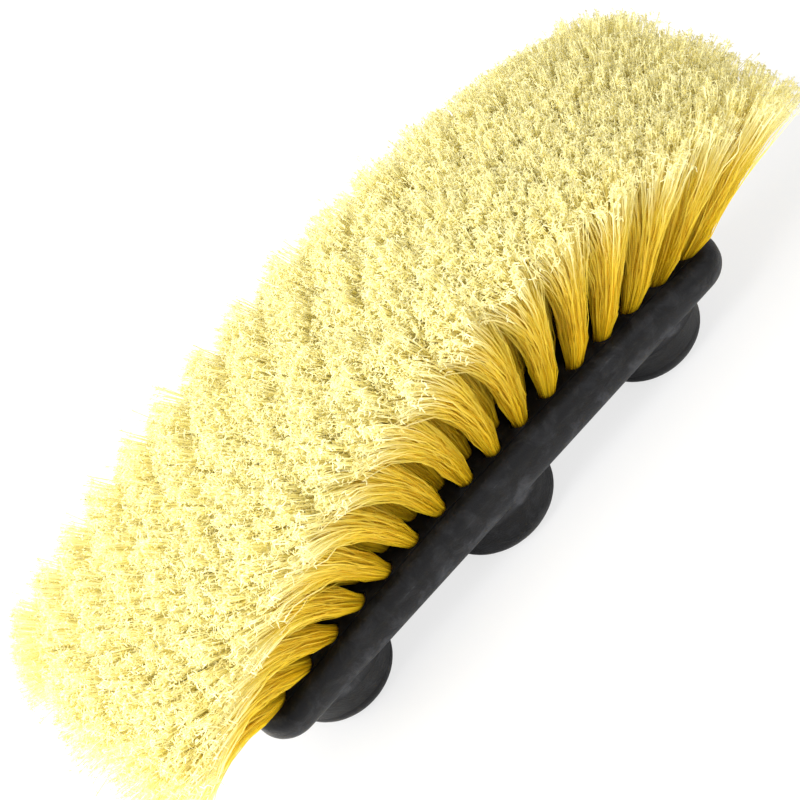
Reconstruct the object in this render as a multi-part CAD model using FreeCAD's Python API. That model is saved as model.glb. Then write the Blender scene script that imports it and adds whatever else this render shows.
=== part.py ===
import FreeCAD, Part
import math
import os

# Long brush head: a moulded block with three handle bosses below and five
# rows of bristle tufts above. Millimetres, X along the block, Y across it,
# Z up. The origin is on the ground under the middle of the centre boss.

# ---- block ----
block_length = 224.0
block_width = 52.0
block_thickness = 20.0        # at mid length, face to flat underside
corner_radius = 12.0          # block outline, seen from above
face_arch_drop = 6.5          # how far the face falls from mid length to each end
rim_round = 5.0               # edge between the face and the side wall
rolled_edge_round = 7.0       # edge between the side wall and the underside

# ---- bosses and handle sockets ----
end_boss_inset = 33.0         # end boss's axis to the end of the block
boss_height = 21.0            # below the underside of the block
centre_boss_radius = 23.0     # where the side meets the rounded free end
end_boss_radius = 21.0
boss_edge_round = 8.5
boss_foot_gap = 0.8           # boss foot to the plane of the block's side
boss_flare = 2.0              # rounded foot where a boss meets the block
socket_radius = 9.0
socket_rise = 2.0             # sockets end this far above the block's underside
socket_mouth_bevel = 1.2

# ---- tuft holes and tufts ----
row_count = 16                # tufts in an outer row
end_inset = 10.75             # last tuft to the end of the block
side_inset = 10.0             # outer row to the side of the block
hole_radius = 3.5
hole_depth = 11.0
root_clearance = 0.3          # tuft root to hole wall
bristle_length = 80.0         # face to tip, along the tuft
end_trim = 0.12               # share by which the endmost tufts are shorter
tuft_fill = 0.73              # tuft width near the tips over the room it has there
fan_angle_along = 42.0        # mean lean of the endmost tufts, in degrees
fan_angle_across = 14.0       # mean lean of the outer rows at mid length
extra_angle_across = 14.0     # added to that at the two ends
root_lean = 0.90              # share of the lean that is already there in the hole
tip_lean = 1.10               # share reached at the tip, so that tufts curve outward
tip_taper = 0.7               # flat end of a tuft over its width just below
bend_steps = 8                # straight lengths that make up a tuft's curve

# ---- wire anchors that hold the folded tufts ----
anchor_thickness = 0.8
anchor_height = 3.0
anchor_bite = 0.6             # each end sinks this far into the hole wall
anchor_seat = 1.8             # hole bottom to the underside of the anchor
anchor_clearance = 0.05

# ---- shallow line moulded along each side of the face ----
mould_line_width = 0.8
mould_line_depth = 0.4
mould_line_inset = 5.6        # block side to the line's centre

ground_to_underside = boss_height
face_height = ground_to_underside + block_thickness
half_length = block_length / 2
half_width = block_width / 2
arch_radius = (half_length ** 2 + face_arch_drop ** 2) / (2 * face_arch_drop)
arch_axis_height = face_height - arch_radius
boss_spacing = half_length - end_boss_inset
end_tuft_reach = half_length - end_inset
tuft_pitch = 2 * end_tuft_reach / (row_count - 1)
outer_row_offset = half_width - side_inset
row_spacing = outer_row_offset / 2
# Neighbouring tufts stand further apart at their tips, because they fan out.
tip_pitch = tuft_pitch * (1 + bristle_length * math.radians(fan_angle_along) / end_tuft_reach)
tip_row_spacing = row_spacing + bristle_length * math.radians(fan_angle_across) / 2
tip_radius = tuft_fill * min(tip_pitch, math.hypot(tip_pitch / 2, tip_row_spacing)) / 2

os.makedirs("parts", exist_ok=True)


def vec(x, y, z):
    return FreeCAD.Vector(x, y, z)


def face_z(x):
    """Height of the arched face at a distance x along the block."""
    return arch_axis_height + math.sqrt(arch_radius ** 2 - x ** 2)


def arch_cylinder(radius, width):
    """A drum across the block, on the axis that the face is bent around."""
    start = vec(0, -width / 2, arch_axis_height)
    return Part.makeCylinder(radius, width, start, vec(0, 1, 0))


def lean_direction(x, y, share):
    """Unit direction of a tuft rooted at (x, y), at a share of its full lean."""
    outward = x / end_tuft_reach
    along = math.radians(fan_angle_along * outward * share)
    widest = fan_angle_across + extra_angle_across * outward ** 2
    across = math.radians(widest * y / outer_row_offset * share)
    lean = math.hypot(along, across)
    if lean == 0:
        return vec(0, 0, 1)
    side = math.sin(lean) / lean
    return vec(side * along, side * across, math.cos(lean))


def at_root(shape, x, y):
    """Move a shape built on the Z axis into the tuft hole at (x, y)."""
    turn = FreeCAD.Rotation(vec(0, 0, 1), lean_direction(x, y, root_lean))
    moved = shape.copy()
    moved.Placement = FreeCAD.Placement(vec(x, y, face_z(x)), turn)
    return moved


def block_body():
    """Rounded bar with an arched face, a rim round and a rolled lower edge."""
    slab = Part.makeBox(block_length, block_width, block_thickness,
                        vec(-half_length, -half_width, ground_to_underside))
    corners = [e for e in slab.Edges
               if abs(e.Vertexes[0].Z - e.Vertexes[-1].Z) > block_thickness / 2]
    bar = slab.makeFillet(corner_radius, corners)
    bar = bar.common(arch_cylinder(arch_radius, 2 * block_width))
    bottom = [e for e in bar.Edges
              if e.BoundBox.ZMax < ground_to_underside + rim_round / 10]
    bar = bar.makeFillet(rolled_edge_round, bottom)
    top = [e for e in bar.Edges
           if e.BoundBox.ZMin > face_z(half_length) - rim_round / 10]
    return bar.makeFillet(rim_round, top)


def boss(x, radius):
    """Turned boss: rounded free end, tapered side, and a flared foot that runs up
    into the block, nearly flush with its side wall."""
    top = ground_to_underside
    wide = half_width - boss_foot_gap - boss_flare
    slant = math.sqrt(0.5)
    points = [vec(0, 0, 0), vec(radius - boss_edge_round, 0, 0),
              vec(radius, 0, boss_edge_round),
              vec(wide, 0, top - boss_flare), vec(wide + boss_flare, 0, top),
              vec(wide + boss_flare, 0, top + rolled_edge_round),
              vec(0, 0, top + rolled_edge_round)]
    end_mid = vec(radius - boss_edge_round * (1 - slant), 0,
                  boss_edge_round * (1 - slant))
    foot_mid = vec(wide + boss_flare * (1 - slant), 0, top - boss_flare * (1 - slant))
    edges = [Part.makeLine(points[0], points[1]),
             Part.Arc(points[1], end_mid, points[2]).toShape(),
             Part.makeLine(points[2], points[3]),
             Part.Arc(points[3], foot_mid, points[4]).toShape(),
             Part.makeLine(points[4], points[5]),
             Part.makeLine(points[5], points[6]),
             Part.makeLine(points[6], points[0])]
    turned = Part.Face(Part.Wire(edges)).revolve(vec(0, 0, 0), vec(0, 0, 1), 360)
    turned.translate(vec(x, 0, 0))
    return turned


def socket(x):
    """Blind handle hole from the boss's free end, with a bevelled mouth."""
    bore = Part.makeCylinder(socket_radius, ground_to_underside + socket_rise,
                             vec(x, 0, 0))
    bevel = Part.makeCone(socket_radius + socket_mouth_bevel, socket_radius,
                          socket_mouth_bevel, vec(x, 0, 0))
    return bore.fuse(bevel)


def tuft_hole():
    """Hole with the two grooves that the anchor cuts as it is driven in."""
    above = hole_radius + corner_radius / 2
    hole = Part.makeCylinder(hole_radius, hole_depth + above, vec(0, 0, -hole_depth))
    length = 2 * (hole_radius + anchor_bite + anchor_clearance)
    width = anchor_thickness + 2 * anchor_clearance
    seat = hole_depth - anchor_seat
    groove = Part.makeBox(length, width, seat + above,
                          vec(-length / 2, -width / 2, -seat))
    return hole.fuse(groove)


def anchor():
    """Flat piece of wire standing on edge across the tuft hole."""
    length = 2 * (hole_radius + anchor_bite)
    return Part.makeBox(length, anchor_thickness, anchor_height,
                        vec(-length / 2, -anchor_thickness / 2,
                            anchor_seat - hole_depth))


def ring(radius, centre, facing):
    """Circle facing a direction, turned the shortest way so that its seam stays put."""
    circle = Part.makeCircle(radius)
    circle.Placement = FreeCAD.Placement(
        centre, FreeCAD.Rotation(vec(0, 0, 1), facing))
    return Part.Wire(circle)


def tuft(x, y):
    """Folded bundle: round root in its hole, then a curved, widening fan."""
    root_radius = hole_radius - root_clearance
    start = vec(x, y, face_z(x))
    length = bristle_length * (1 - end_trim * (x / end_tuft_reach) ** 2)
    down = lean_direction(x, y, root_lean)
    stations = [(start - down * hole_depth, down, root_radius),
                (start - down * (hole_depth / 2), down, root_radius),
                (start, down, root_radius)]
    point = start
    for step in range(1, bend_steps + 1):
        reach = step / bend_steps
        middle = (step - 0.5) / bend_steps
        share = root_lean + (tip_lean - root_lean) * middle
        point = point + lean_direction(x, y, share) * (length / bend_steps)
        facing = lean_direction(x, y, root_lean + (tip_lean - root_lean) * reach)
        radius = root_radius + (tip_radius - root_radius) * reach
        if step == bend_steps:
            radius = radius * tip_taper
        stations.append((point, facing, radius))
    rings = [ring(radius, centre, facing) for centre, facing, radius in stations]
    bundle = Part.makeLoft(rings, True, True)
    slot_length = 4 * hole_radius
    slot_width = anchor_thickness + 2 * anchor_clearance
    slot = Part.makeBox(slot_length, slot_width, anchor_height + 2 * anchor_clearance,
                        vec(-slot_length / 2, -slot_width / 2,
                            anchor_seat - hole_depth - anchor_clearance))
    return bundle.cut(at_root(slot, x, y))


def save(name, solids):
    shape = solids[0] if len(solids) == 1 else Part.makeCompound(solids)
    shape.exportStep(os.path.join("parts", name + ".step"))


# Outer and middle rows share the same stations; the rows between are offset
# by half a pitch, so that every tuft sits between two of its neighbours.
full_ranks = [step * tuft_pitch - end_tuft_reach for step in range(row_count)]
half_ranks = [x + tuft_pitch / 2 for x in full_ranks[:-1]]
full_rows = [-outer_row_offset, 0.0, outer_row_offset]
half_rows = [-row_spacing, row_spacing]
ranks = sorted([(x, full_rows) for x in full_ranks] + [(x, half_rows) for x in half_ranks])
places = [(x, y) for x, rows in ranks for y in rows]

block = block_body()
bosses = [(0.0, centre_boss_radius), (-boss_spacing, end_boss_radius),
          (boss_spacing, end_boss_radius)]
block = block.fuse([boss(x, radius) for x, radius in bosses])
cutters = [socket(x) for x, radius in bosses]
hole = tuft_hole()
cutters += [at_root(hole, x, y) for x, y in places]
shell = arch_cylinder(arch_radius + mould_line_depth, mould_line_width).cut(
    arch_cylinder(arch_radius - mould_line_depth, 2 * mould_line_width))
reach = half_length - corner_radius
window = Part.makeBox(2 * reach, block_width, 2 * block_thickness,
                      vec(-reach, -half_width, ground_to_underside))
line = shell.common(window)
for side in (-1, 1):
    groove = line.copy()
    groove.translate(vec(0, side * (half_width - mould_line_inset), 0))
    cutters.append(groove)
block = block.cut(cutters).removeSplitter()
save("brush_block", block.Solids)

for number, (x, rows) in enumerate(ranks, 1):
    save("tuft_rank_%02d" % number, [tuft(x, y) for y in rows])

wire = anchor()
for number, y in enumerate(sorted(full_rows + half_rows), 1):
    save("anchor_row_%d" % number, [at_root(wire, a, b) for a, b in places if b == y])
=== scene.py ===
"""Looks for a long brush head: scuffed black block, golden bristle tufts with pale frayed tips."""

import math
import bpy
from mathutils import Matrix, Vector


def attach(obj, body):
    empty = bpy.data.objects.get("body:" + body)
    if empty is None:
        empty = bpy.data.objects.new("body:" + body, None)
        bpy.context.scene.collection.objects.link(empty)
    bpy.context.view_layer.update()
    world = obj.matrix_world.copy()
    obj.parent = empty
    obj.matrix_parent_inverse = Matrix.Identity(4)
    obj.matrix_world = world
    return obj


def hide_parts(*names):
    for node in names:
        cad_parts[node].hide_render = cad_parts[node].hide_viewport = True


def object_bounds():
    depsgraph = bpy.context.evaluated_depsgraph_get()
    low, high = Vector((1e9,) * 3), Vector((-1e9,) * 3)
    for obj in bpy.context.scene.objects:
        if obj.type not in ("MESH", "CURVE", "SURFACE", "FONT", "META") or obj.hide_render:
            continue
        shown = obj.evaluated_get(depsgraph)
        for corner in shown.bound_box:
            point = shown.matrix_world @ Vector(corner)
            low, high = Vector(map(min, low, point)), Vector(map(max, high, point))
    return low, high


bl_info = {
    "name": "Wash brush head",
    "version": (1, 0, 0),
    "blender": (4, 5, 0),
    "location": "3D View > Sidebar > Brush head",
    "description": "Builds the bristles, materials and studio of a long brush head",
    "category": "Object",
}

import bpy
import numpy as np
from bpy.props import (FloatProperty, FloatVectorProperty, IntProperty,
                       PointerProperty)
from mathutils import Euler

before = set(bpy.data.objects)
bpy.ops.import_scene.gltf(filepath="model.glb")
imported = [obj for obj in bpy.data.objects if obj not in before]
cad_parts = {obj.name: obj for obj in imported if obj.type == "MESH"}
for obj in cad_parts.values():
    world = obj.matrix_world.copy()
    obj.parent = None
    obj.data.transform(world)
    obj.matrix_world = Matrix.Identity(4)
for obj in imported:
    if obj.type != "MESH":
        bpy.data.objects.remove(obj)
LOADED_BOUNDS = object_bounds()

MM = 0.001
BAKE_UV = "OFBake"

# The bake map: U picks one of the lanes, V runs along a strip.
LANES = 128
LANE_EDGES = (0.2, 0.8)         # a strip's two sides within its lane
FILAMENT_V = (0.02, 0.90)       # root and tip of a filament
FRAYED_V = (0.80, 0.98)         # start and end of a frayed strand

# A filament's course. Way is 0 at the face and 1 at the tip.
FILAMENT_STEPS = 9
STEP_SPACING = 0.85             # power that spaces the steps along the way
SWEEP_POWER = 1.5               # sweep grows with this power of the way
SWEEP_END_LOSS = 0.9            # share of the sweep that the endmost tufts lose
SWEEP_END_POWER = 1.5
UPRIGHT_MIDDLE = 0.6            # share of the upright value at mid length
UPRIGHT_SLOPE = 0.4             # added at the right end, taken off at the left
UPRIGHT_POWER = 0.7
SHOULDER_WAY = 0.07             # the bundle reaches its shoulder here
WIDENING_POWER = 2.4
DRIFT_POWER = 2
GATHER_POWER = 5
LUMP_POWER = 4
DOME = 0.05                     # share by which a bundle's outermost filaments are shorter
STRAY_SPREAD = 0.6
KINK_RISE = 6                   # kink is whole at one part in this many of the way

# Short strands at a filament's tip.
FRAYED_ENDS = 3
FACING_JITTER = 0.25            # random turn of a strip that has to face outward
FRAYED_WIDTHS = (1.0, 1.2, 0.7)


def size(name, text, value):
    """A length property, written in millimetres and held in metres."""
    return FloatProperty(name=name, description=text, default=value * MM, min=0.0,
                         precision=5, subtype="DISTANCE", unit="LENGTH")


def share(name, text, value):
    """A plain share or strength."""
    return FloatProperty(name=name, description=text, default=value, min=0.0,
                         soft_max=2.0, subtype="FACTOR")


def power(name, text, value):
    """The power of a light, in watts."""
    return FloatProperty(name=name, description=text, default=value, min=0.0,
                         unit="POWER")


def degrees(name, text, value):
    """An angle property, shown in degrees and held in radians."""
    return FloatProperty(name=name, description=text, default=math.radians(value),
                         subtype="ANGLE")


def colour(name, text, value):
    """A linear colour property."""
    return FloatVectorProperty(name=name, description=text, default=value, size=3,
                               subtype="COLOR", min=0.0, max=1.0)


# ------------------------------------------------------------------ settings


class BrushLayout(bpy.types.PropertyGroup):
    """Where the tufts stand and how they lean, as on the solid model."""

    row_count: IntProperty(name="Row count", description="Tufts in an outer row",
                           default=16, min=2)
    pitch: size("Pitch", "Tuft to tuft along a row", 13.5)
    row_spacing: size("Row spacing", "Row to row across the block", 8.0)
    face_height: size("Face height", "Ground to the face at mid length", 41.0)
    half_length: size("Half length", "Middle of the block to its end", 112.0)
    arch_drop: size("Arch drop", "Fall of the face from middle to end", 6.5)
    lean_along: degrees("Lean along", "Mean lean of the endmost tufts", 42.0)
    lean_across: degrees("Lean across", "Mean lean of the outer rows at mid length", 14.0)
    lean_corner: degrees("Corner lean", "Added across lean at the ends", 14.0)
    end_trim: share("End trim", "Share by which the endmost tufts are shorter", 0.12)
    root_lean: share("Root lean", "Share of the lean at the root", 0.90)
    tip_lean: share("Tip lean", "Share of the lean at the tip", 1.10)
    sweep: degrees("Sweep", "Lean of the tips towards the left end, from use", 36.0)
    droop: degrees("Droop", "Added lean of the tips at the left end", 6.0)
    upright: share("Upright", "Share of their sideways lean that front tips lose", 0.85)


class BristleShape(bpy.types.PropertyGroup):
    """One tuft's filaments."""

    count: IntProperty(name="Filaments", description="Filaments in a tuft",
                       default=700, min=1)
    length: size("Length", "Face to tip along a filament", 80.0)
    buried: size("Buried", "Length shown inside the hole", 6.0)
    width: size("Width", "Filament width at the root", 0.48)
    tip_width: size("Tip width", "Width of a split end", 0.30)
    root_radius: size("Root radius", "Bundle radius in its hole", 2.9)
    shoulder: size("Shoulder", "Bundle radius just above the face", 4.3)
    spread: size("Spread", "Bundle radius at the tips", 13.0)
    end_spread: share("End spread", "Share by which the endmost tufts spread further", 0.40)
    wander: size("Wander", "Sideways drift of a filament's tip", 3.0)
    gather: share("Gather", "How far tips draw together into small locks", 0.30)
    locks: IntProperty(name="Locks", description="Small locks in a tuft's top",
                       default=48, min=1)
    crimp: size("Crimp", "Sideways kink of a filament", 0.34)
    ragged: share("Ragged", "Uneven length, as a share", 0.08)
    clump: size("Clump", "Height of the soft lumps in the top", 1.8)
    split: size("Split", "Length of a frayed end", 1.6)
    stray: share("Stray", "Share of filaments that stand out of the bundle", 0.02)
    overhang: size("Overhang", "How far tips may pass the solid tufts sideways", 11.0)
    stray_reach: size("Stray reach", "How far a stray filament bends away", 9.0)


class BrushColours(bpy.types.PropertyGroup):
    """Colours of the pieces."""

    # Root colour: darker, deeper gold, painted shade of the crowded bundle at the face; it reaches
    # the filaments just above the face.
    root: colour("Root", "Filaments in the hole", (0.62, 0.41, 0.005))
    middle: colour("Middle", "Filaments at mid length", (0.90, 0.67, 0.018))
    upper: colour("Upper", "Filaments below the tips", (1.0, 0.84, 0.12))
    tip: colour("Tip", "Frayed ends", (1.0, 0.95, 0.58))
    block: colour("Block", "Moulded plastic", (0.007, 0.007, 0.008))
    # Paler grey-blue of the real scratches and mottling, also used as the painted highlight along
    # the rolled lower edge.
    worn_and_sheen: colour("Worn", "Rubbed plastic", (0.085, 0.087, 0.096))
    steel: colour("Steel", "Wire anchors", (0.55, 0.55, 0.53))
    floor: colour("Floor", "Studio floor", (0.92, 0.92, 0.92))


class BrushCamera(bpy.types.PropertyGroup):
    """Camera and lights."""

    lens: FloatProperty(name="Lens", description="Focal length", default=108.6,
                        min=1.0, unit="CAMERA")
    place: FloatVectorProperty(name="Place", description="Camera position", size=3,
                               default=(-0.1104, -0.5521, 0.6203), subtype="TRANSLATION",
                               precision=4)
    turn: FloatVectorProperty(name="Turn", description="Camera rotation", size=3,
                              default=[math.radians(a) for a in (38.35, 27.07, -40.86)],
                              subtype="EULER")
    key: power("Key", "Power of the large light above the left end", 25.0)
    fill: power("Fill", "Power of the light from the front", 3.0)
    world: share("World", "Brightness of the surroundings", 0.6)


# ------------------------------------------------------------------ materials


def new_material(name):
    """An empty node material with its output, as (material, nodes, links)."""
    material = bpy.data.materials.new(name)
    material.use_nodes = True
    tree = material.node_tree
    tree.nodes.clear()
    return material, tree.nodes, tree.links


def add(nodes, kind, **inputs):
    """A node of a kind, with socket values by name."""
    node = nodes.new(kind)
    for name, value in inputs.items():
        node.inputs[name.replace("_", " ")].default_value = value
    return node


def ramp(nodes, links, factor, stops):
    """A colour ramp through (place, colour) stops, as its colour socket."""
    node = nodes.new("ShaderNodeValToRGB")
    band = node.color_ramp
    while len(band.elements) < len(stops):
        band.elements.new(0.5)
    for element, (place, value) in zip(band.elements, stops):
        element.position = place
        element.color = (*value, 1.0)
    links.new(factor, node.inputs["Fac"])
    return node.outputs["Color"]


def grey(value):
    return (value, value, value)


def maths(nodes, links, kind, first, second=None):
    """A Math node of a kind on sockets or numbers, as its output socket."""
    node = nodes.new("ShaderNodeMath")
    node.operation = kind
    for index, value in enumerate((first, second)):
        if value is None:
            continue
        if isinstance(value, (int, float)):
            node.inputs[index].default_value = value
        else:
            links.new(value, node.inputs[index])
    return node.outputs[0]


def wear_group():
    """Node group: Object coordinates in; soft mottling, fine scratches and pits out."""
    group = bpy.data.node_groups.new("MouldedWear", "ShaderNodeTree")
    face = group.interface
    face.new_socket("Vector", in_out="INPUT", socket_type="NodeSocketVector")
    for name in ("Mottle", "Scratch", "Height"):
        face.new_socket(name, in_out="OUTPUT", socket_type="NodeSocketFloat")
    nodes, links = group.nodes, group.links
    entry = nodes.new("NodeGroupInput")
    leave = nodes.new("NodeGroupOutput")
    mottle = add(nodes, "ShaderNodeTexNoise", Scale=120.0, Detail=7.0, Roughness=0.68,
                 Distortion=0.5)
    links.new(entry.outputs["Vector"], mottle.inputs["Vector"])
    stretch = nodes.new("ShaderNodeMapping")
    stretch.inputs["Scale"].default_value = (60.0, 900.0, 900.0)
    stretch.inputs["Rotation"].default_value = (0.0, 0.12, 0.2)
    links.new(entry.outputs["Vector"], stretch.inputs["Vector"])
    streak = add(nodes, "ShaderNodeTexNoise", Scale=1.0, Detail=3.0, Roughness=0.7)
    links.new(stretch.outputs["Vector"], streak.inputs["Vector"])
    thin = ramp(nodes, links, streak.outputs["Fac"],
                [(0.0, grey(0.0)), (0.60, grey(0.0)), (0.74, grey(1.0))])
    patch = ramp(nodes, links, mottle.outputs["Fac"],
                 [(0.0, grey(0.0)), (0.48, grey(0.0)), (0.72, grey(1.0))])
    scratch = maths(nodes, links, "MULTIPLY", thin, patch)
    grain = add(nodes, "ShaderNodeTexNoise", Scale=1400.0, Detail=4.0, Roughness=0.6)
    links.new(entry.outputs["Vector"], grain.inputs["Vector"])
    height = maths(nodes, links, "ADD",
                   maths(nodes, links, "MULTIPLY", grain.outputs["Fac"], 0.35),
                   mottle.outputs["Fac"])
    links.new(patch, leave.inputs["Mottle"])
    links.new(scratch, leave.inputs["Scratch"])
    links.new(height, leave.inputs["Height"])
    return group


def block_material(colours):
    """Black moulded plastic: mottled gloss, fine scratches, a painted highlight along the rolled
    lower edge.
    """
    material, nodes, links = new_material("BlackMoulding")
    where = nodes.new("ShaderNodeTexCoord").outputs["Object"]
    wear = nodes.new("ShaderNodeGroup")
    wear.node_tree = wear_group()
    links.new(where, wear.inputs["Vector"])
    parts = nodes.new("ShaderNodeSeparateXYZ")
    links.new(where, parts.inputs["Vector"])
    # The painted highlight on the rolled lower edge, broken up by the mottling: more than 20 mm
    # from the middle, 21 to 32 mm above the ground.
    side = maths(nodes, links, "ABSOLUTE", parts.outputs["Y"])
    outer = ramp(nodes, links, maths(nodes, links, "MULTIPLY", side, 40.0),
                 [(0.0, grey(0.0)), (0.78, grey(0.0)), (0.92, grey(1.0))])
    level = ramp(nodes, links, maths(nodes, links, "MULTIPLY", parts.outputs["Z"], 20.0),
                 [(0.42, grey(0.0)), (0.46, grey(1.0)), (0.54, grey(0.9)), (0.64, grey(0.0))])
    edge = maths(nodes, links, "MULTIPLY", outer, level)
    edge_sheen = maths(nodes, links, "MULTIPLY", edge,
                   maths(nodes, links, "ADD", wear.outputs["Mottle"], 0.35))
    # Painted edge highlight, plus the real fine scratches.
    sheen_and_scratch = maths(nodes, links, "ADD", maths(nodes, links, "MULTIPLY", edge_sheen, 0.55),
                maths(nodes, links, "MULTIPLY", wear.outputs["Scratch"], 0.5))
    soft = maths(nodes, links, "ADD", sheen_and_scratch,
                 maths(nodes, links, "MULTIPLY", wear.outputs["Mottle"], 0.20))
    # Base colour from near black towards grey-blue: real wear and mottling plus the painted edge
    # highlight.
    shade = ramp(nodes, links, soft, [(0.0, tuple(colours.block)), (1.0, tuple(colours.worn_and_sheen))])
    rough = ramp(nodes, links, soft, [(0.0, grey(0.34)), (1.0, grey(0.62))])
    bump = add(nodes, "ShaderNodeBump", Strength=0.6, Distance=0.0006)
    links.new(wear.outputs["Height"], bump.inputs["Height"])
    skin = nodes.new("ShaderNodeBsdfPrincipled")
    skin.inputs["Specular IOR Level"].default_value = 0.11
    links.new(shade, skin.inputs["Base Color"])
    links.new(rough, skin.inputs["Roughness"])
    links.new(bump.outputs["Normal"], skin.inputs["Normal"])
    out = nodes.new("ShaderNodeOutputMaterial")
    links.new(skin.outputs[0], out.inputs["Surface"])
    return material


def steel_material(colours):
    """Plain drawn wire with faint lengthwise streaks."""
    material, nodes, links = new_material("AnchorSteel")
    where = nodes.new("ShaderNodeTexCoord").outputs["Object"]
    streak = add(nodes, "ShaderNodeTexNoise", Scale=900.0, Detail=3.0)
    links.new(where, streak.inputs["Vector"])
    rough = ramp(nodes, links, streak.outputs["Fac"], [(0.3, grey(0.28)), (0.7, grey(0.5))])
    skin = add(nodes, "ShaderNodeBsdfPrincipled", Metallic=1.0)
    skin.inputs["Base Color"].default_value = (*colours.steel, 1.0)
    links.new(rough, skin.inputs["Roughness"])
    out = nodes.new("ShaderNodeOutputMaterial")
    links.new(skin.outputs[0], out.inputs["Surface"])
    return material


def bristle_material(colours):
    """Golden filament, darker towards the root with painted shade, paler to the tip; the map's U
    picks a filament, V runs along it.
    """
    material, nodes, links = new_material("BristleFilament")
    chart = nodes.new("ShaderNodeUVMap")
    chart.uv_map = BAKE_UV
    parts = nodes.new("ShaderNodeSeparateXYZ")
    links.new(chart.outputs["UV"], parts.inputs["Vector"])
    lane = maths(nodes, links, "FLOOR",
                 maths(nodes, links, "MULTIPLY", parts.outputs["X"], float(LANES)))
    chance = nodes.new("ShaderNodeTexWhiteNoise")
    chance.noise_dimensions = "1D"
    links.new(lane, chance.inputs["W"])
    shift = maths(nodes, links, "MULTIPLY",
                  maths(nodes, links, "SUBTRACT", chance.outputs["Value"], 0.5), 0.16)
    along = maths(nodes, links, "ADD", parts.outputs["Y"], shift)
    # The ramp starts in painted shade at the root and ends in the pale frayed tips.
    shade = ramp(nodes, links, along, [
        (0.04, tuple(colours.root)), (0.20, tuple(colours.middle)),
        (0.55, tuple(colours.upper)), (0.86, tuple(colours.tip))])
    tone = nodes.new("ShaderNodeHueSaturation")
    links.new(shade, tone.inputs["Color"])
    links.new(maths(nodes, links, "ADD", maths(nodes, links, "MULTIPLY",
              chance.outputs["Value"], 0.34), 0.78), tone.inputs["Value"])
    skin = add(nodes, "ShaderNodeBsdfPrincipled", Roughness=0.48)
    skin.inputs["Specular IOR Level"].default_value = 0.22
    links.new(tone.outputs["Color"], skin.inputs["Base Color"])
    through = nodes.new("ShaderNodeBsdfTranslucent")
    links.new(tone.outputs["Color"], through.inputs["Color"])
    mix = add(nodes, "ShaderNodeMixShader", Fac=0.5)
    links.new(skin.outputs[0], mix.inputs[1])
    links.new(through.outputs[0], mix.inputs[2])
    out = nodes.new("ShaderNodeOutputMaterial")
    links.new(mix.outputs[0], out.inputs["Surface"])
    return material


def floor_material(colours):
    """Pale floor. The camera sees part of it as plain white, under the soft shadow."""
    material, nodes, links = new_material("StudioFloor")
    matt = nodes.new("ShaderNodeBsdfDiffuse")
    matt.inputs["Color"].default_value = (*colours.floor, 1.0)
    glow = add(nodes, "ShaderNodeEmission", Strength=1.0)
    blend = add(nodes, "ShaderNodeMixShader", Fac=0.72)
    links.new(matt.outputs[0], blend.inputs[1])
    links.new(glow.outputs[0], blend.inputs[2])
    path = nodes.new("ShaderNodeLightPath")
    seen = add(nodes, "ShaderNodeMixShader")
    links.new(path.outputs["Is Camera Ray"], seen.inputs["Fac"])
    links.new(matt.outputs[0], seen.inputs[1])
    links.new(blend.outputs[0], seen.inputs[2])
    out = nodes.new("ShaderNodeOutputMaterial")
    links.new(seen.outputs[0], out.inputs["Surface"])
    return material


def studio_world(strength):
    """Even surroundings: white where seen or mirrored, gentler as a light."""
    world = bpy.data.worlds.new("Studio")
    world.use_nodes = True
    nodes, links = world.node_tree.nodes, world.node_tree.links
    nodes.clear()
    white = (1.0, 1.0, 1.0, 1.0)
    lamp = add(nodes, "ShaderNodeBackground", Color=white, Strength=strength)
    backdrop = add(nodes, "ShaderNodeBackground", Color=white, Strength=1.0)
    path = nodes.new("ShaderNodeLightPath")
    shown = maths(nodes, links, "MAXIMUM", path.outputs["Is Camera Ray"],
                  path.outputs["Is Glossy Ray"])
    shown = maths(nodes, links, "MAXIMUM", shown, path.outputs["Is Transmission Ray"])
    mix = nodes.new("ShaderNodeMixShader")
    links.new(shown, mix.inputs["Fac"])
    links.new(lamp.outputs[0], mix.inputs[1])
    links.new(backdrop.outputs[0], mix.inputs[2])
    out = nodes.new("ShaderNodeOutputWorld")
    links.new(mix.outputs[0], out.inputs["Surface"])
    return world


# ------------------------------------------------------------------ geometry


def ranks(layout):
    """Stations along the block as (x, rows in y): outer and middle rows share one
    set of stations, and the two rows between are half a pitch further on."""
    first = -(layout.row_count - 1) / 2 * layout.pitch
    full = [first + step * layout.pitch for step in range(layout.row_count)]
    wide = 2 * layout.row_spacing
    found = [(x, (-wide, 0.0, wide)) for x in full]
    found += [(x + layout.pitch / 2, (-layout.row_spacing, layout.row_spacing))
              for x in full[:-1]]
    return sorted(found)


def face_z(layout, x):
    """Height of the face: a circle through its middle and both dropped ends."""
    radius = (layout.half_length ** 2 + layout.arch_drop ** 2) / (2 * layout.arch_drop)
    return layout.face_height - radius + math.sqrt(radius ** 2 - x ** 2)


def end_reach(layout):
    """Middle of the block to the last tuft of an outer row."""
    return (layout.row_count - 1) / 2 * layout.pitch


def lean(layout, x, y, amount):
    """Lean angles (along, across) of the tuft at (x, y), times an array of shares.
    Across lean grows with the square of the way to the end of the block."""
    outward = x / end_reach(layout)
    across = layout.lean_across + layout.lean_corner * outward ** 2
    across *= y / (2 * layout.row_spacing)
    return layout.lean_along * outward * amount, across * amount


def directions(along, across):
    """Unit vectors tilted from +Z by the angle hypot(along, across), towards
    (along, across) seen from above."""
    total = np.hypot(along, across)
    side = np.sinc(total / math.pi)
    return np.stack([side * along, side * across, np.cos(total)], axis=-1)


def normalise(vectors):
    return vectors / np.maximum(np.linalg.norm(vectors, axis=-1, keepdims=True), 1e-9)


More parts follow.
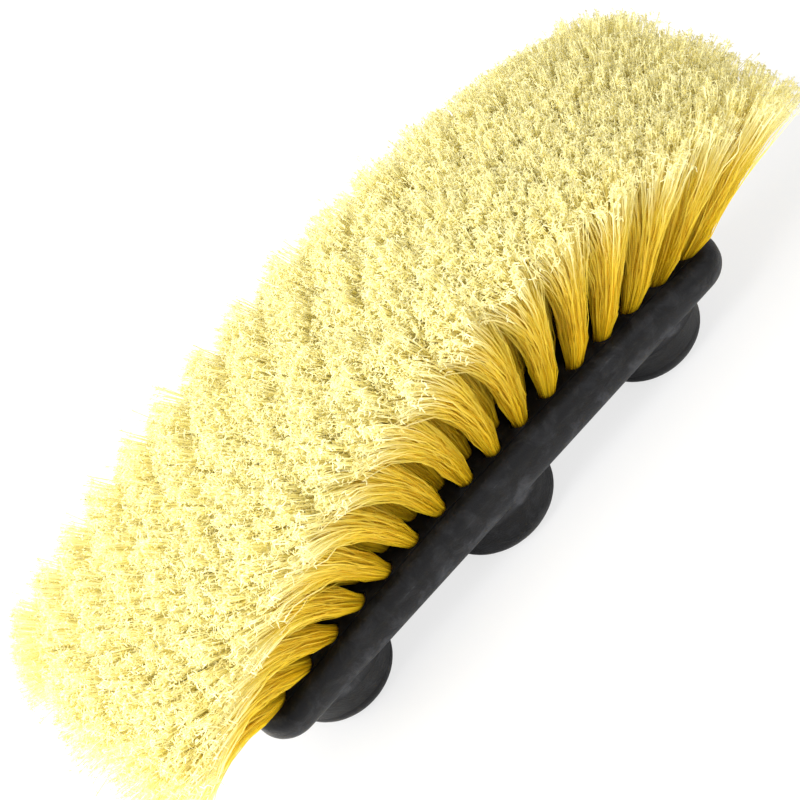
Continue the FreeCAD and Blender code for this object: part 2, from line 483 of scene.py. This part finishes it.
def lumps(points):
    """Soft height field over (x, y): a few crossed sine waves 6 to 20 mm long."""
    total = np.zeros(len(points))
    for wave, (length, angle) in enumerate(
            ((19.0, 0.3), (13.0, 1.5), (9.0, 2.4), (7.0, 0.9), (6.0, 2.9))):
        axis = np.array([math.cos(angle), math.sin(angle)])
        phase = points[:, :2] @ axis * (2 * math.pi / (length * MM)) + wave + 1.0
        total += np.sin(phase + 1.3 * np.sin(phase * 0.37 + wave))
    return total / 5.0


def tuft_paths(layout, shape, x, y, steps, rng):
    """Centre lines of one tuft's filaments, as (filaments, steps, 3).

    The spine starts in the hole and its lean changes from root to tip: outward
    with the fan, and towards the left end with use. In the front rows it loses
    part of its sideways lean, most of it at the right end. A filament keeps its
    place in the bundle's disc, and that disc widens: slightly at the face, then
    ever faster towards the tips. Near the tips each filament also drifts by a
    random amount and is drawn to its nearest lock. Past the solid tufts' sides
    the tips are eased back by a hyperbolic tangent."""
    count = shape.count
    way = np.linspace(0.0, 1.0, steps) ** STEP_SPACING
    amount = layout.root_lean + (layout.tip_lean - layout.root_lean) * way
    along, across = lean(layout, x, y, amount)
    outward = x / end_reach(layout)
    swept = layout.sweep * (1.0 - SWEEP_END_LOSS * abs(outward) ** SWEEP_END_POWER)
    along = along - (swept + layout.droop * max(-outward, 0.0) ** 2) * way ** SWEEP_POWER
    if y < 0:
        part = UPRIGHT_MIDDLE + UPRIGHT_SLOPE * outward
        across = across * (1.0 - layout.upright * part * way ** UPRIGHT_POWER)
    length = shape.length * (1.0 - layout.end_trim * outward ** 2)
    ahead = directions(along, across)
    spine = np.zeros((steps, 3))
    gap = np.diff(way)[:, None] * length
    spine[1:] = np.cumsum((ahead[1:] + ahead[:-1]) / 2 * gap, axis=0)
    e1 = normalise(np.cross(np.array([0.0, 1.0, 0.0]), ahead))
    e2 = np.cross(ahead, e1)
    root = np.array([x, y, face_z(layout, x)])

    radius = np.sqrt(rng.random(count))
    angle = rng.random(count) * 2 * math.pi
    disc = np.stack([radius * np.cos(angle), radius * np.sin(angle)], axis=1)
    rise = np.clip(way / SHOULDER_WAY, 0.0, 1.0)
    waist = shape.root_radius + (shape.shoulder - shape.root_radius) * np.sin(rise * math.pi / 2)
    widening = shape.spread * (1.0 + shape.end_spread * outward ** 2) - shape.shoulder
    spread = waist + widening * way ** WIDENING_POWER
    offset = disc[:, None, :] * spread[None, :, None]
    wander = rng.normal(0.0, 1.0, (count, 2)) * shape.wander
    stray = (rng.random(count) < shape.stray) * shape.stray_reach
    wander += rng.normal(0.0, STRAY_SPREAD, (count, 2)) * stray[:, None]
    offset = offset + wander[:, None, :] * (way ** DRIFT_POWER)[None, :, None]
    heads = offset[:shape.locks, -1]
    apart = np.linalg.norm(offset[:, None, -1] - heads[None], axis=-1)
    pull = heads[apart.argmin(axis=1)] - offset[:, -1]
    pull *= (shape.gather * (stray == 0))[:, None]
    offset = offset + pull[:, None, :] * (way ** GATHER_POWER)[None, :, None]
    reach = 1.0 - DOME * radius ** 2 - shape.ragged * rng.random(count) ** 2
    middle = spine[None] * reach[:, None, None]
    paths = root + middle + offset[..., :1] * e1[None] + offset[..., 1:] * e2[None]
    rise_by = lumps(paths[:, -1]) * shape.clump
    paths += (rise_by[:, None] * way[None] ** LUMP_POWER)[..., None] * ahead[None]
    kink = rng.normal(0.0, 1.0, paths.shape) * shape.crimp
    paths += kink * np.clip(way * KINK_RISE, 0.0, 1.0)[None, :, None]
    side_limit = LOADED_BOUNDS[1][1]
    past = np.abs(paths[..., 1]) - side_limit
    eased = side_limit + shape.overhang * np.tanh(past / shape.overhang)
    paths[..., 1] = np.where(past > 0.0, np.sign(paths[..., 1]) * eased, paths[..., 1])
    start = root - directions(*lean(layout, x, y, layout.root_lean)) * shape.buried
    below = start + (disc[:, :1] * e1[0] + disc[:, 1:] * e2[0]) * shape.root_radius
    return np.concatenate([below[:, None, :], paths], axis=1)


def ribbons(paths, widths, span, lanes, rng, outward=None):
    """Flat strips along the paths: (points, faces, u and v at each face corner).

    Each strip's side is the cross product of a direction and the path, so that
    the strip faces that way. The direction is outward if it is given, and each
    strip's own random one if not. widths is the strip width at each step, and span
    the map's V at the first and last."""
    count, steps = paths.shape[:2]
    heading = normalise(np.gradient(paths, axis=1))
    facing = rng.normal(0.0, 1.0, (count, 1, 3))
    if outward is not None:
        facing = outward[:, None, :] + facing * FACING_JITTER
    side = normalise(np.cross(facing, heading))
    half = side * (widths / 2)[None, :, None]
    points = np.stack([paths - half, paths + half], axis=2).reshape(-1, 3)
    first = (np.arange(count) * steps * 2)[:, None] + (np.arange(steps - 1) * 2)[None]
    faces = np.stack([first, first + 1, first + 3, first + 2], axis=-1).reshape(-1, 4)
    left, right = (np.broadcast_to(((lanes + edge) / LANES)[:, None], (count, steps - 1))
                   for edge in LANE_EDGES)
    level = span[0] + (span[1] - span[0]) * np.linspace(0.0, 1.0, steps)
    bottom = np.broadcast_to(level[None, :-1], (count, steps - 1))
    top = np.broadcast_to(level[None, 1:], (count, steps - 1))
    chart = np.stack([np.stack([left, bottom], -1), np.stack([right, bottom], -1),
                      np.stack([right, top], -1), np.stack([left, top], -1)], axis=2)
    return points, faces, chart.reshape(-1, 2)


def tuft_strips(layout, shape, x, y, rng):
    """All strips of one tuft: its filaments, then the frayed ends of each.

    A frayed end starts up to a split's length behind the tip, runs on and
    sideways in a random direction, then turns back and round by the cross
    product of that direction and the filament's."""
    paths = tuft_paths(layout, shape, x, y, FILAMENT_STEPS, rng)
    lanes = rng.integers(0, LANES, shape.count)
    widths = np.linspace(shape.width, shape.tip_width * 1.2, FILAMENT_STEPS + 1)
    strips = [ribbons(paths, widths, FILAMENT_V, lanes, rng)]
    tip = paths[:, -1]
    ahead = normalise(tip - paths[:, -2])
    for _ in range(FRAYED_ENDS):
        loose = rng.normal(0.0, 1.0, tip.shape)
        flat = loose - ahead * np.sum(loose * ahead, axis=1, keepdims=True) * 0.8
        curl = np.cross(flat, ahead)
        base = tip - ahead * rng.random((len(tip), 1)) * shape.split
        middle = base + (ahead * 0.45 + flat * 0.25) * shape.split
        end = middle + (flat * 0.25 + curl * 0.35 - ahead * 0.3) * shape.split
        ends = np.stack([base, middle, end], axis=1)
        thin = np.array(FRAYED_WIDTHS) * shape.tip_width
        strips.append(ribbons(ends, thin, FRAYED_V, lanes, rng, outward=ahead))
    return strips


def strip_mesh(name, strips):
    """One mesh from many strips, with its bake map."""
    shifts = np.cumsum([0] + [len(points) for points, _, _ in strips[:-1]])
    points = np.concatenate([points for points, _, _ in strips])
    faces = np.concatenate([faces + shift for (_, faces, _), shift in zip(strips, shifts)])
    chart = np.concatenate([chart for _, _, chart in strips])
    mesh = bpy.data.meshes.new(name)
    mesh.vertices.add(len(points))
    mesh.vertices.foreach_set("co", points.astype(np.float32).ravel())
    mesh.loops.add(faces.size)
    mesh.loops.foreach_set("vertex_index", faces.astype(np.int32).ravel())
    mesh.polygons.add(len(faces))
    mesh.polygons.foreach_set("loop_start", np.arange(len(faces), dtype=np.int32) * 4)
    mesh.polygons.foreach_set("use_smooth", np.ones(len(faces), dtype=bool))
    layer = mesh.uv_layers.new(name=BAKE_UV)
    layer.data.foreach_set("uv", chart.astype(np.float32).ravel())
    mesh.update(calc_edges=True)
    mesh.validate()
    return mesh


def place(name, mesh, material):
    """A new object in the scene with a mesh and a material."""
    piece = bpy.data.objects.new(name, mesh)
    bpy.context.scene.collection.objects.link(piece)
    mesh.materials.append(material)
    return piece


def dress(node, material):
    """Give a solid of the frame its material."""
    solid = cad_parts[node]
    solid.data.materials.clear()
    solid.data.materials.append(material)


# ------------------------------------------------------------------ operators


class WASHBRUSH_OT_block(bpy.types.Operator):
    """Dress the moulded block"""
    bl_idname = "washbrush.block"
    bl_label = "Block"

    def execute(self, context):
        dress("brush_block", block_material(context.scene.brush_colours))
        return {"FINISHED"}


class WASHBRUSH_OT_anchors(bpy.types.Operator):
    """Dress the wire anchors in the tuft holes"""
    bl_idname = "washbrush.anchors"
    bl_label = "Wire anchors"

    def execute(self, context):
        steel = steel_material(context.scene.brush_colours)
        for name in sorted(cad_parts):
            if name.startswith("anchor_row_"):
                dress(name, steel)
        return {"FINISHED"}


class WASHBRUSH_OT_bristles(bpy.types.Operator):
    """Build every rank of bristle tufts"""
    bl_idname = "washbrush.bristles"
    bl_label = "Bristle tufts"

    def execute(self, context):
        scene = context.scene
        layout, shape = scene.brush_layout, scene.brush_bristles
        material = bristle_material(scene.brush_colours)
        for number, (x, rows) in enumerate(ranks(layout), 1):
            rng = np.random.default_rng(1000 + number)
            strips = [strip for y in rows for strip in tuft_strips(layout, shape, x, y, rng)]
            name = "bristles_rank_%02d" % number
            piece = place(name, strip_mesh(name, strips), material)
            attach(piece, "root")
            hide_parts("tuft_rank_%02d" % number)
        return {"FINISHED"}


class WASHBRUSH_OT_stage(bpy.types.Operator):
    """Set the floor, the lights and the camera"""
    bl_idname = "washbrush.stage"
    bl_label = "Studio"

    def execute(self, context):
        scene, setup = context.scene, context.scene.brush_camera
        mesh = bpy.data.meshes.new("floor")
        mesh.from_pydata([(-6, -6, 0), (6, -6, 0), (6, 6, 0), (-6, 6, 0)], [], [(0, 1, 2, 3)])
        place("floor", mesh, floor_material(scene.brush_colours))
        for name, power, side, spot, turn in (
                ("key_light", setup.key, 0.9, (-0.65, 0.0, 0.85), (0, -37, 0)),
                ("fill_light", setup.fill, 0.7, (0.35, -0.9, 0.55), (62, 0, 20))):
            lamp = bpy.data.lights.new(name, "AREA")
            lamp.energy, lamp.size = power, side
            fixture = bpy.data.objects.new(name, lamp)
            fixture.location = spot
            fixture.rotation_euler = [math.radians(angle) for angle in turn]
            scene.collection.objects.link(fixture)
        scene.world = studio_world(setup.world)
        lens = bpy.data.cameras.new("view")
        lens.lens = setup.lens
        lens.clip_start = 0.01
        camera = bpy.data.objects.new("view", lens)
        camera.location = setup.place
        camera.rotation_euler = Euler(setup.turn)
        scene.collection.objects.link(camera)
        scene.camera = camera
        scene.view_settings.view_transform = "Standard"
        return {"FINISHED"}


class WASHBRUSH_PT_panel(bpy.types.Panel):
    """Sizes and colours of the brush head"""
    bl_idname = "WASHBRUSH_PT_panel"
    bl_label = "Brush head"
    bl_space_type = "VIEW_3D"
    bl_region_type = "UI"
    bl_category = "Brush head"

    def draw(self, context):
        for group, title, _ in GROUPS:
            settings = getattr(context.scene, group)
            box = self.layout.box()
            box.label(text=title)
            for name in settings.__annotations__:
                box.prop(settings, name)
        for step in STEPS:
            self.layout.operator(step.bl_idname)


GROUPS = (("brush_layout", "Tuft layout", BrushLayout),
          ("brush_bristles", "Bristles", BristleShape),
          ("brush_colours", "Colours", BrushColours),
          ("brush_camera", "Camera and lights", BrushCamera))
STEPS = (WASHBRUSH_OT_block, WASHBRUSH_OT_anchors, WASHBRUSH_OT_bristles,
         WASHBRUSH_OT_stage)


def register():
    for cls in [cls for _, _, cls in GROUPS] + list(STEPS) + [WASHBRUSH_PT_panel]:
        bpy.utils.register_class(cls)
    for name, _, cls in GROUPS:
        setattr(bpy.types.Scene, name, PointerProperty(type=cls))


def unregister():
    for name, _, _ in GROUPS:
        delattr(bpy.types.Scene, name)
    for cls in [WASHBRUSH_PT_panel] + list(STEPS) + [cls for _, _, cls in GROUPS]:
        bpy.utils.unregister_class(cls)


def main():
    register()
    bpy.ops.washbrush.block()
    bpy.ops.washbrush.anchors()
    bpy.ops.washbrush.bristles()
    bpy.ops.washbrush.stage()


if __name__ == "__main__":
    main()
